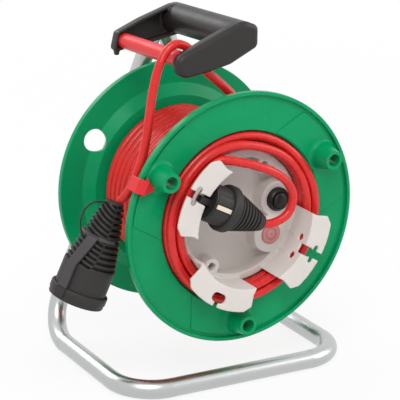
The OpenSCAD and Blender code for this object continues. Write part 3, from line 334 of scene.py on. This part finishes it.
class Surface:
    """A Principled material with noise in its colour and roughness, and a fine bump."""

    def __init__(self, name, base, roughness, metallic=0.0):
        self.material = bpy.data.materials.new(name)
        self.material.use_nodes = True
        self.tree = self.material.node_tree
        self.shader = self.tree.nodes["Principled BSDF"]
        self.shader.inputs["Metallic"].default_value = metallic
        self.shader.inputs["Roughness"].default_value = roughness
        self.shader.inputs["Base Color"].default_value = base
        self.place = self.node("ShaderNodeTexCoord").outputs["Object"]
        self.base = base
        self.roughness = roughness
        self.normal = None

    def node(self, kind, **values):
        return shader_node(self.tree, kind, **values)

    def link(self, out, into):
        self.tree.links.new(out, into)

    def noise(self, per_metre, detail=3.0):
        made = self.node("ShaderNodeTexNoise", Scale=per_metre, Detail=detail)
        self.link(self.place, made.inputs["Vector"])
        return made.outputs["Fac"]

    def noise_between(self, per_metre, low, high):
        """Noise spread over a range of values."""
        made = self.node("ShaderNodeMapRange", From_Min=NOISE_LOW, From_Max=NOISE_HIGH,
                         To_Min=low, To_Max=high)
        self.link(self.noise(per_metre), made.inputs["Value"])
        return made.outputs["Result"]

    def mix_shades(self, factor, dark, light):
        """The base colour times a share that goes from dark to light with the factor."""
        mix = self.node("ShaderNodeMix", data_type="RGBA")
        mix.inputs[6].default_value = shade(self.base, dark)
        mix.inputs[7].default_value = shade(self.base, light)
        self.link(factor, mix.inputs[0])
        self.link(mix.outputs[2], self.shader.inputs["Base Color"])
        return self

    def vary_colour(self, per_metre, depth):
        """Lighter and darker patches, by depth either way."""
        return self.mix_shades(self.noise_between(per_metre, 0, 1), 1 - depth, 1 + depth)

    def vary_roughness(self, per_metre, depth):
        value = self.noise_between(per_metre, self.roughness - depth, self.roughness + depth)
        self.link(value, self.shader.inputs["Roughness"])
        return self

    def round_edges(self, radius):
        edge = self.node("ShaderNodeBevel", samples=4, Radius=radius)
        self.normal = edge.outputs["Normal"]
        self.link(self.normal, self.shader.inputs["Normal"])
        return self

    def grain(self, per_metre, height, detail=2.0):
        """A fine bump, height metres deep."""
        bump = self.node("ShaderNodeBump", Strength=1.0, Distance=height)
        self.link(self.noise(per_metre, detail), bump.inputs["Height"])
        if self.normal:
            self.link(self.normal, bump.inputs["Normal"])
        self.normal = bump.outputs["Normal"]
        self.link(self.normal, self.shader.inputs["Normal"])
        return self


def moulded(name, base, roughness, grain_height=2e-5, edge=0.0006, shine=0.35):
    """Moulded plastic: a satin skin with a fine grain, and softened edges."""
    made = Surface(name, base, roughness)
    made.shader.inputs["Specular IOR Level"].default_value = shine
    made.vary_colour(14, 0.05).vary_roughness(60, 0.05)
    made.round_edges(edge).grain(1500, grain_height)
    return made.material


def sheath(name, base, roughness):
    """The cord's rubber sheath, with faint handling marks."""
    made = Surface(name, base, roughness)
    made.vary_colour(35, 0.07).vary_roughness(120, 0.08).grain(900, 2e-5)
    made.shader.inputs["Specular IOR Level"].default_value = 0.4
    return made.material


def steel(name, base, roughness):
    """Plated metal: a faintly mottled plating, and softened edges."""
    made = Surface(name, base, roughness, metallic=1.0)
    made.vary_colour(12, 0.03).vary_roughness(90, 0.03)
    made.round_edges(0.0004).grain(900, 4e-6, 3.0)
    return made.material


def lens_plastic(name, base, middle, ring_width):
    """Translucent plastic, with rings of painted light and shade round its middle in place of its
    ridges' shading.
    """
    made = Surface(name, base, 0.25)
    centred = made.node("ShaderNodeMapping", Location=-middle)
    made.link(made.place, centred.inputs["Vector"])
    rings = made.node("ShaderNodeTexWave", wave_type="RINGS", rings_direction="Y",
                      Scale=WAVE_PERIOD / ring_width, Distortion=0.0)
    made.link(centred.outputs["Vector"], rings.inputs["Vector"])
    # Painted light and shade: the rings are darker and lighter bands of the base colour
    made.mix_shades(rings.outputs["Fac"], 0.85, 1.25).round_edges(0.0004)
    made.shader.inputs["Subsurface Weight"].default_value = 0.4
    made.shader.inputs["Subsurface Scale"].default_value = 0.004
    made.shader.inputs["Coat Weight"].default_value = 0.5
    return made.material


GREEN = moulded("green_plastic", colour(0, 152, 95), 0.3, shine=0.18)
GREY = moulded("grey_plastic", colour(222, 215, 210), 0.42)
BLACK = moulded("black_plastic", colour(40, 37, 36), 0.4, 3e-5, 0.001)
DARK = moulded("dark_plastic", colour(34, 33, 33), 0.4)
WHITE = moulded("white_plastic", colour(226, 224, 216), 0.4)
RED = moulded("red_plastic", colour(222, 42, 46), 0.36)
RUBBER = moulded("black_rubber", colour(46, 44, 43), 0.55, 4e-5, 0.0005)
CORD = sheath("cord_red", colour(218, 38, 36), 0.26)
STEEL = steel("steel_tube", colour(192, 194, 194), 0.3)
PLATED = steel("plated_steel", colour(200, 202, 204), 0.28)
BRASS = steel("brass_contact", colour(205, 172, 96), 0.3)
STRAP_RUBBER = moulded("strap_rubber", colour(70, 66, 67), 0.5, 4e-5, 0.0005)
BAIL = moulded("bail_grey", colour(172, 166, 162), 0.35)
EARTH = steel("earth_strip", colour(240, 226, 208), 0.4)
# Painted shade: dark steel for the nest screws, giving the dark of the deep holes they sit in
SHADE_DARK_STEEL = steel("shade_dark_steel", colour(60, 60, 60), 0.4)
LENS = lens_plastic("lens_red", colour(208, 142, 143), drum_point(*LENS_AT, RIM_Z),
                    LENS_RING_W * MM)

# The material of each slot in the record
FINISH = {
    "steel_tube": STEEL, "plated_steel": PLATED, "black_plastic": BLACK, "red_plastic": RED,
    "cord_red": CORD, "black_rubber": RUBBER, "green_plastic": GREEN, "grey_plastic": GREY,
    "lens_red": LENS, "dark_plastic": DARK, "white_plastic": WHITE, "brass_contact": BRASS,
}
# Nodes whose metal is darker or paler than their slot's usual one
# The screws take painted shade: their dark steel stands for the shade in their holes
OWN_FINISH = {"earth_strips": EARTH, "nest_screws": SHADE_DARK_STEEL}


def finish_nodes():
    """Every CAD node takes the material of its slot in the record, or its own."""
    for part in frame["record"]["subparts"]:
        node = NODES[part["node"]]
        if not node.material_slots:
            node.data.materials.append(None)
        for held in node.material_slots:
            held.material = OWN_FINISH.get(part["node"], FINISH[part["material_slot"]])


# ---- Meshes ----
def around(radii, z):
    """A ring of points round the axis at a height, one for each radius."""
    step = 2 * math.pi / len(radii)
    return [(r * math.cos(k * step), r * math.sin(k * step), z) for k, r in enumerate(radii)]


def band(low, high, count):
    """Faces between two rings of count points, from the numbers of the rings' first points."""
    return [(low + k, low + (k + 1) % count, high + (k + 1) % count, high + k)
            for k in range(count)]


def shell(rings, start=0):
    """Points and faces of a closed skin through rings of as many points, capped at both ends."""
    count = len(rings[0])
    points = [tuple(p) for ring in rings for p in ring]
    starts = [start + i * count for i in range(len(rings))]
    faces = [face for low, high in zip(starts, starts[1:]) for face in band(low, high, count)]
    faces.append(tuple(reversed(range(start, start + count))))
    faces.append(tuple(range(starts[-1], starts[-1] + count)))
    return points, faces


def revolved(profile, sides, middle=(0, 0), start=0):
    """Points and faces of a closed profile (radius, height) carried round an axis at a place."""
    points = [(middle[0] + x, middle[1] + y, z)
              for r, height in profile for x, y, z in around([r] * sides, height)]
    starts = [start + i * sides for i in range(len(profile))]
    faces = [face for low, high in zip(starts, [*starts[1:], start])
             for face in band(low, high, sides)]
    return points, faces


def shells(groups):
    """Points and faces of several closed skins, one through each group of rings."""
    points, faces = [], []
    for rings in groups:
        more, sides = shell(rings, len(points))
        points += more
        faces += sides
    return points, faces


def mesh_of(name, points, faces, place):
    mesh = bpy.data.meshes.new(name)
    mesh.from_pydata([place @ Vector(p) for p in points], [], faces)
    mesh.update()
    return mesh


def mesh_piece(name, mesh, material, body, sharp=35):
    """A shown piece from a mesh in the row frame, smooth but for edges over sharp degrees."""
    mesh.polygons.foreach_set("use_smooth", [True] * len(mesh.polygons))
    mesh.set_sharp_from_angle(angle=math.radians(sharp))
    mesh.materials.clear()
    mesh.materials.append(material)
    piece = bpy.data.objects.new(name, mesh)
    bpy.context.scene.collection.objects.link(piece)
    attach(piece, body)
    return piece


def ringed(name, rings, place, material, body, sharp=35):
    """A shown piece that is one closed skin through rings of points."""
    return mesh_piece(name, mesh_of(name, *shell(rings), place), material, body, sharp)


def modified(source, name, *modifiers):
    """A new mesh: source's, after each modifier, given as (kind, {setting: value})."""
    holder = bpy.data.objects.new(name + "_holder", source.copy())
    bpy.context.scene.collection.objects.link(holder)
    for kind, settings in modifiers:
        modifier = holder.modifiers.new(kind.lower(), kind)
        for key, value in settings.items():
            setattr(modifier, key, value)
    bpy.context.view_layer.update()
    result = bpy.data.meshes.new_from_object(
        holder.evaluated_get(bpy.context.evaluated_depsgraph_get()))
    result.name = name
    bpy.data.objects.remove(holder)
    return result


def soft_mesh(source, name, voxel, rounds):
    """A mesh with its edges and inner corners rounded."""
    return modified(
        source, name,
        ("REMESH", {"mode": "VOXEL", "voxel_size": voxel * MM}),
        ("SMOOTH", {"factor": 0.5, "iterations": rounds}),
        ("DECIMATE", {"decimate_type": "COLLAPSE", "ratio": 0.35}))


# ---- Coupling ----
def coupling_taper(z):
    """Radius of the coupling over its ribs, at a height along its axis."""
    bulge = 0.85
    share = min(max(z, 0) / RIB_ZONE, 1) ** bulge
    return COUPLING_NECK_R + (COUPLING_R - COUPLING_NECK_R) * share


def rib_shape(phase):
    """Height of a flat-topped rib over its groove, from 0 to 1, along one pitch."""
    top_middle, rib_end, flank = 0.4, 0.66, 0.1
    phase %= 1
    return ease(phase / flank) if phase < top_middle else ease((rib_end - phase) / flank)


def seam_turn(z):
    """Where the two combs of ribs meet, in degrees round the axis."""
    return SEAM_TURN + SEAM_SWEEP * min(z / RIB_ZONE, 1) ** 2


def coupling_radius(turn, z):
    """Radius of the ribbed part: level ribs on one side of the seam, drooping ones on the other."""
    level_pitch, droop_pitch, droop = 5.2, 4.4, 7
    groove_d, core_r = 3.6, 5.3
    seam_w, seam_depth, end_w = 0.14, 0.8, 2
    off_seam = (turn - seam_turn(z)) % 360
    across = abs(math.sin(math.radians(off_seam)))
    if off_seam < 180:
        phase = (z + droop * (1 - abs(off_seam - 90) / 90)) / droop_pitch
    else:
        phase = z / level_pitch + 0.5
    near_seam = 1 - ease(across / seam_w)
    fade = ease((RIB_ZONE - z) / end_w) * ease((z - 1) / end_w)
    outer = coupling_taper(z)
    groove = min(groove_d, outer - core_r)
    return outer - groove * fade * (1 - rib_shape(phase)) * (1 - seam_depth * near_seam)


def add_coupling():
    """The rubber body: two combs of ribs that meet at a seam, over a sleeve with its socket."""
    sides, step = 180, 0.22
    edge, mouth_edge, wall = 0.6, 0.2, 2
    socket_r, socket_base = COUPLING_R - wall, RIB_ZONE + 2
    contact_room_r, contact_base = 15.5, 54
    rings = [around([coupling_radius(360 * k / sides, step * i) for k in range(sides)], step * i)
             for i in range(round(socket_base / step) + 1)]
    rings += [around([r] * sides, z) for r, z in [
        (COUPLING_R, COUPLING_LEN - edge), (COUPLING_R - edge, COUPLING_LEN),
        (socket_r + mouth_edge, COUPLING_LEN), (socket_r, COUPLING_LEN - mouth_edge),
        (socket_r, socket_base), (contact_room_r, socket_base), (contact_room_r, contact_base)]]
    body = ringed("coupling_rubber", rings, at_coupling(), RUBBER, "stand", 40)
    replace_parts(body, "coupling_body")


def strap_turn(z):
    """The strap's place round the axis: it runs a little way round as it goes down."""
    share = min(max((z - STRAP_TOP) / (RIB_ZONE - STRAP_TOP), 0), 1)
    return STRAP_TURN + STRAP_SWEEP * share


def strap_ring(z, turn, inner, thick):
    """A cross-section of a band: a rectangle of points with its long side round the axis."""
    corners = [(inner, -STRAP_HALF_W), (inner + thick, -STRAP_HALF_W),
               (inner + thick, STRAP_HALF_W), (inner, STRAP_HALF_W)]
    return [turned("Z", turn) @ Vector((r, y, z)) for r, y in corners]


def add_strap():
    """The cap's strap down the coupling's side, and its cross band over the ribs."""
    thick, off_ribs, steps = 2.6, 1.0, 24
    low = COUPLING_LEN - CAP_DEPTH
    heights = [STRAP_TOP + (low - STRAP_TOP) * k / steps for k in range(steps + 1)]
    lengthwise = [strap_ring(z, strap_turn(z), coupling_taper(z) + off_ribs, thick)
                  for z in heights]
    # Cross band, from beside the seam round to the tether loop
    sunk, proud, above, below = -3.5, 1.4, -1, 2
    section = [(sunk, above), (proud, above), (proud, below), (sunk, below)]
    first_turn, last_turn, turn_step = 64, 196, 4
    cross = [[turned("Z", turn) @ Vector((coupling_taper(STRAP_TOP + z) + off, 0, STRAP_TOP + z))
              for off, z in section]
             for turn in range(first_turn, last_turn + 1, turn_step)]
    mesh = mesh_of("strap", *shells([lengthwise, cross]), at_coupling())
    strap = mesh_piece("strap", mesh, STRAP_RUBBER, "stand")
    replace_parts(strap, "cap_strap")


def add_cap():
    """The round cap on the coupling's end, with the lug that its strap holds."""
    gap, sides = 0.3, 144
    floor = COUPLING_LEN + gap
    top = floor - CAP_DEPTH
    bore, rim = COUPLING_R + gap, CAP_R
    profile = [(bore, floor), (bore, top), (rim - 1.0, top), (rim - 0.3, top + 0.3),
               (rim, top + 1.0), (rim, top + 7), (rim - 0.8, top + 7.8), (rim - 0.8, floor + 1.8),
               (rim - 1.1, floor + 2.6), (rim - 1.9, floor + 3)]
    skin = [around([r] * sides, z) for r, z in profile]
    lug = [strap_ring(z, strap_turn(z), rim - 1, 2.0) for z in (top, floor)]
    mesh = mesh_of("cap", *shells([skin, lug]), at_coupling())
    cap = mesh_piece("cap", mesh, RUBBER, "cap", 50)
    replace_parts(cap, "coupling_cap")


# ---- Plug ----
def nose_radius(z, turn):
    """The nose: round, with a raised square on two sides, each grooved for its earth strip."""
    raised, square_half_w, square_half_len, square_z = 0.9, 11.5, 8.5, 11
    strip_half_w, strip_d = 2.7, 1.0
    slope_end, slope = 1.06, 0.12
    off_sides = abs(math.cos(math.radians(turn))) <= 0.5
    if off_sides:
        return PLUG_NOSE_R - raised
    across = abs(math.sin(math.radians(turn))) * PLUG_NOSE_R
    square = max(across / square_half_w, abs(z - square_z) / square_half_len)
    groove = strip_d if across < strip_half_w and z < PLUG_NOSE_LEN - 1 else 0
    return PLUG_NOSE_R - raised + raised * ease((slope_end - square) / slope) - groove


def plug_radius(z, turn):
    """Radius of the plug's rubber at a depth behind its face: nose, collar, then ribs."""
    edge, front_len, back_len, rib_step, bulge = 1.2, 1.5, 2, 2.0, 0.9
    rib_pitch, rib_depth, rib_phase, tail_len, fade_len = 4.8, 3.0, 0.76, 5, 3
    if z < PLUG_NOSE_LEN:
        return nose_radius(z, turn)
    if z < PLUG_COLLAR_END:
        front = edge * (1 - ease((z - PLUG_NOSE_LEN) / front_len))
        back = edge * ease((z - PLUG_COLLAR_END + back_len) / back_len)
        return PLUG_COLLAR_R - front - back
    behind = z - PLUG_COLLAR_END
    share = behind / (PLUG_LEN - PLUG_COLLAR_END)
    outer = PLUG_TAIL_R + (PLUG_COLLAR_R - rib_step - PLUG_TAIL_R) * (1 - share) ** bulge
    fade = ease((PLUG_LEN - tail_len - z) / fade_len)
    return outer - rib_depth * fade * (1 - rib_shape(behind / rib_pitch + rib_phase))


def add_plug():
    """The plug's rubber body, from its tail to the seat of its face."""
    sides, step = 144, 0.4
    count = round((PLUG_LEN - PLUG_FACE_T) / step) + 1
    depths = [PLUG_FACE_T + step * k for k in reversed(range(count))]
    rings = [around([plug_radius(z, 360 * k / sides) for k in range(sides)], -z) for z in depths]
    body = ringed("plug_rubber", rings, at_plug(), RUBBER, "drum", 40)
    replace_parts(body, "plug_body")


# ---- Handle ----
def outline(circles, inset, z, sides=120):
    """A ring round a group of circles (x, y, radius), drawn in by the inset."""
    ring = []
    for k in range(sides):
        a = 2 * math.pi * k / sides
        x, y, r = max(circles, key=lambda c: c[0] * math.cos(a) + c[1] * math.sin(a) + c[2])
        ring.append((x + (r - inset) * math.cos(a), y + (r - inset) * math.sin(a), z))
    return ring


def arm_rings(circles, set_back, face, last_inset):
    """A hollow arm whose outer face is at z = face: open behind, with a rounded front edge."""
    x, y, r = circles[-1]
    inner = [*circles[:-1], (x + set_back, y, r)]
    mouth = face - ARM_T
    # How far in, and how far behind the face, each step of the rounded edge lies
    edge = [(0, 4.5), (0.7, 2.5), (2.2, 0.7), (last_inset, 0)]
    return [outline(inner, ARM_WALL, face - ARM_WALL), outline(inner, ARM_WALL, mouth),
            outline(inner, 0, mouth),
            *[outline(circles, inset, face - behind) for inset, behind in edge]]


def mirrored(rings):
    """Rings on the other side of z = 0, in the order that keeps their skin outwards."""
    return [[(x, y, -z) for x, y, z in reversed(ring)] for ring in rings]


def add_handle():
    """The grip and its two arms in one moulding, and the bar between the arms."""
    overlap = 2
    grip = [around([GRIP_R] * 96, z) for z in (-FAR_FACE + overlap, NEAR_FACE - overlap)]
    near = arm_rings(NEAR_ARM, 1.2, NEAR_FACE, 4.5)
    far = mirrored(arm_rings(FAR_ARM, 0, FAR_FACE, 2.9))
    # Hooked lip under the far arm's nose
    mouth, lip = -FAR_FACE + ARM_T, 5
    hook = [[(x, y, z) for x, y in [(-69.5, -23), (-68.5, -30), (-64.5, -29.5), (-63.5, -23)]]
            for z in (mouth - lip, mouth)]
    whole = mesh_of("handle", *shells([grip, near, far, hook]), AT_HANDLE)
    mesh = soft_mesh(whole, "handle", voxel=0.9, rounds=6)
    handle = mesh_piece("handle", mesh, BLACK, "stand", 60)
    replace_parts(handle, "handle_body")

    bar = [[(BAR_AT[0] + x, BAR_AT[1] + y, z) for x, y, z in around([BAR_R] * 64, end)]
           for end in (-FAR_FACE + ARM_WALL, NEAR_FACE - ARM_WALL)]
    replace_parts(ringed("bar", bar, AT_HANDLE, RED, "stand"), "guide_bar")


# ---- Pieces on the drum's front ----
def add_cutout_trim():
    """The cut-out's round collar, and the domed button in it."""
    sides = 96
    place = AT_DRUM @ Matrix.Translation((*BUTTON_AT, RIM_Z))
    bore, rim = 8.1, CUTOUT_COLLAR_R
    collar = [(bore, 0), (rim, 0), (rim, 3.4), (rim - 0.5, 4.4), (rim - 1.4, 5.1),
              (bore + 0.8, 6.1), (bore + 0.2, 5.9), (bore, 5.4)]
    mesh = mesh_of("collar", *revolved(collar, sides), place)
    ring = mesh_piece("collar", mesh, DARK, "drum", 50)
    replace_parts(ring, "cutout_collar")

    stem_r, stem_low, skirt = 6, -4.5, 5.8
    dome_r, dome_low, dome_h = 7.6, 6.6, 2.2
    dome = [(stem_r, stem_low), (stem_r, skirt), (dome_r, skirt), (dome_r, dome_low)]
    dome += [(dome_r * math.cos(math.radians(a)), dome_low + dome_h * math.sin(math.radians(a)))
             for a in range(10, 86, 15)]
    rings = [around([r] * sides, z) for r, z in dome]
    button = ringed("button_dome", rings, place, DARK, "button", 50)
    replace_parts(button, "reset_button")


def add_latch():
    """The bent wire across the slot of the flap that holds the plug."""
    wire_d, half_w, bow_out, bow_up, sunk = 2.6, 8.4, 3.2, 2.2, 1.2
    half_steps = 10
    bend = []
    for k in range(-half_steps, half_steps + 1):
        t = k / half_steps
        spot = Vector((FLAP_NOTCH_R + bow_out * (1 - t * t), half_w * t,
                       FLAP_Z - sunk + bow_up * (1 - t ** 4)))
        bend.append(AT_DRUM @ turned("Z", LATCH_ANGLE) @ spot)
    latch = cord_piece("latch", bend, wire_d * MM, BAIL, "drum")
    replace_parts(latch, "latch_bar")


def block(x0, x1, half_w, z0, z1):
    """A block, as its lower and upper rings of corners."""
    corners = [(x0, -half_w), (x1, -half_w), (x1, half_w), (x0, half_w)]
    return [[(x, y, z) for x, y in corners] for z in (z0, z1)]


def arrow(base_x, tip_x, half_w, base_z, tip_z):
    """One ring of an arrow tip: its two back corners and its point."""
    return [(base_x, -half_w, base_z), (base_x, half_w, base_z), (tip_x, 0, tip_z)]


def add_clip():
    """The clip on the rim: a block over the lip, a jaw behind it and an arrow tip on the front."""
    half_w, jaw_t = 6.6, 3
    back, front, rim = FACE_Z - 6, FACE_Z + 0.1, DRUM_R
    groups = [
        block(rim - 7, rim + 4, half_w, front, front + 5),
        block(rim + 0.1, rim + 4, half_w, back - jaw_t, front + 1),
        block(rim - 4, rim + 1, half_w, back - jaw_t, back),
        [arrow(rim - 5, rim - 18, 9.2, front, front),
         arrow(rim - 5, rim - 18, 9.2, front + 1.4, front + 0.7),
         arrow(rim - 5, rim - 17, 8, front + 4.4, front + 0.9)],
    ]
    whole = mesh_of("clip", *shells(groups), AT_DRUM @ turned("Z", CLIP_ANGLE))
    clip = mesh_piece("clip", soft_mesh(whole, "clip", voxel=0.35, rounds=5), RED, "drum", 60)
    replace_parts(clip, "cord_clip")


def add_nest():
    """The nest, with the soft edges of a moulding."""
    mesh = soft_mesh(NODES["plug_nest"].data, "nest", voxel=0.7, rounds=3)
    nest = mesh_piece("nest", mesh, GREY, "drum", 50)
    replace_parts(nest, "plug_nest")


def add_post_fillets():
    """The rounded foot where each hollow post runs out into its pad."""
    inner_r, foot_r, low, sunk, radius, sides = 12.0, 16.4, 68.5, 2, 4.0, 48
    profile = [(inner_r, low - sunk), (foot_r, low - sunk)]
    for degrees in range(0, 91, 15):
        a = math.radians(degrees)
        profile.append((foot_r - radius * math.sin(a), low + radius * (1 - math.cos(a))))
    profile.append((inner_r, low + radius))
    points, faces = [], []
    for degrees in POST_ANGLES:
        a = math.radians(degrees)
        middle = (POST_CIRCLE_R * math.cos(a), POST_CIRCLE_R * math.sin(a))
        more, bands = revolved(profile, sides, middle, len(points))
        points += more
        faces += bands
    mesh = mesh_of("post_fillets", points, faces, AT_DRUM)
    mesh_piece("post_fillets", mesh, GREEN, "drum")


# ---- Cords ----
def add_cords():
    """The winding, the cord over the bar, the stowed coil and the plug's lead."""
    d = CORD_D * MM
    wound = winding_line()
    winding = cord_piece("winding", wound, d, CORD, "drum")
    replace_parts(winding, "winding_turns")

    over = smooth_line([Vector((x, y + DRUM_Y, z)) * MM for x, y, z in BAR_ROUTE], ROUTE_STEP * MM)
    bar_cord = cord_piece("bar_cord", over, d, CORD, "stand")
    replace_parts(bar_cord, "cord_over_bar")

    coiled = coil_line()
    coil = cord_piece("stowed_coil", coiled, d, CORD, "drum")
    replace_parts(coil, "front_coil")

    lead = smooth_line([drum_point(*p) for p in LEAD_ROUTE], ROUTE_STEP * MM)
    lead.reverse()
    lead_cord = cord_piece("lead_cord", lead, d, CORD, "drum")
    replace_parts(lead_cord, "plug_lead")


# ---- Studio ----
def seen_white(tree):
    """1 for the rays that see plain white, which are camera, transmission and glossy rays."""
    path = shader_node(tree, "ShaderNodeLightPath")
    value = path.outputs["Is Camera Ray"]
    for kind in ["Is Transmission Ray", "Is Glossy Ray"]:
        either = shader_node(tree, "ShaderNodeMath", operation="MAXIMUM")
        tree.links.new(value, either.inputs[0])
        tree.links.new(path.outputs[kind], either.inputs[1])
        value = either.outputs[0]
    return value


def add_world():
    """White where it is seen. As light it is bright overhead and dim towards the horizon."""
    world = bpy.data.worlds.new("studio")
    world.use_nodes = True
    bpy.context.scene.world = world
    tree = world.node_tree
    background = tree.nodes["Background"]
    background.inputs["Color"].default_value = (1, 1, 1, 1)
    place = shader_node(tree, "ShaderNodeTexCoord")
    parts = shader_node(tree, "ShaderNodeSeparateXYZ")
    tree.links.new(place.outputs["Generated"], parts.inputs["Vector"])
    level = shader_node(tree, "ShaderNodeMapRange", From_Min=-0.1, From_Max=0.8,
                        To_Min=0.12, To_Max=0.75)
    tree.links.new(parts.outputs["Z"], level.inputs["Value"])
    shown = shader_node(tree, "ShaderNodeMix")
    tree.links.new(seen_white(tree), shown.inputs[0])
    tree.links.new(level.outputs["Result"], shown.inputs[2])
    shown.inputs[3].default_value = 1.0
    tree.links.new(shown.outputs[0], background.inputs["Strength"])


def add_floor():
    """White paper that keeps the object's shadow, and fades to plain white further off."""
    bpy.ops.mesh.primitive_plane_add(size=12, location=(0, 0, 0))
    floor = bpy.context.object
    floor.name = "floor"
    paper = bpy.data.materials.new("floor_paper")
    paper.use_nodes = True
    tree = paper.node_tree
    shader = tree.nodes["Principled BSDF"]
    shader.inputs["Base Color"].default_value = (0.85, 0.85, 0.85, 1)
    shader.inputs["Roughness"].default_value = 0.9
    glow = shader_node(tree, "ShaderNodeEmission", Color=(1, 1, 1, 1), Strength=1.0)
    place = shader_node(tree, "ShaderNodeTexCoord")
    away = shader_node(tree, "ShaderNodeVectorMath", operation="LENGTH")
    tree.links.new(place.outputs["Object"], away.inputs[0])
    share = shader_node(tree, "ShaderNodeMapRange", From_Min=0.3, From_Max=1.6,
                        To_Min=0.85, To_Max=1.0)
    tree.links.new(away.outputs["Value"], share.inputs["Value"])
    glowing = shader_node(tree, "ShaderNodeMath", operation="MULTIPLY")
    tree.links.new(seen_white(tree), glowing.inputs[0])
    tree.links.new(share.outputs["Result"], glowing.inputs[1])
    mix = shader_node(tree, "ShaderNodeMixShader")
    tree.links.new(glowing.outputs[0], mix.inputs["Fac"])
    tree.links.new(shader.outputs[0], mix.inputs[1])
    tree.links.new(glow.outputs[0], mix.inputs[2])
    tree.links.new(mix.outputs[0], tree.nodes["Material Output"].inputs["Surface"])
    floor.data.materials.append(paper)


def add_area(name, at, towards, size, power):
    data = bpy.data.lights.new(name, "AREA")
    data.shape = "RECTANGLE"
    data.size, data.size_y = size
    data.energy = power
    lamp = bpy.data.objects.new(name, data)
    lamp.location = at
    lamp.rotation_euler = (Vector(towards) - Vector(at)).to_track_quat("-Z", "Y").to_euler()
    bpy.context.scene.collection.objects.link(lamp)


def add_studio():
    """A white world and floor, and three soft lamps."""
    bpy.context.scene.view_settings.view_transform = "Standard"
    add_world()
    add_floor()
    add_area("key", (-0.9, -1.3, 1.9), (0, 0, 0.15), (1.2, 1.2), 26)
    add_area("fill", (1.6, -0.9, 1.0), (0, 0, 0.15), (1.4, 1.0), 10)
    add_area("rim", (-0.6, 1.6, 1.4), (0, 0, 0.2), (1.2, 0.8), 12)


add_camera()
add_coupling()
add_strap()
add_cap()
add_plug()
add_cords()
add_handle()
add_cutout_trim()
add_latch()
add_clip()
add_nest()
add_post_fillets()
finish_nodes()
add_studio()
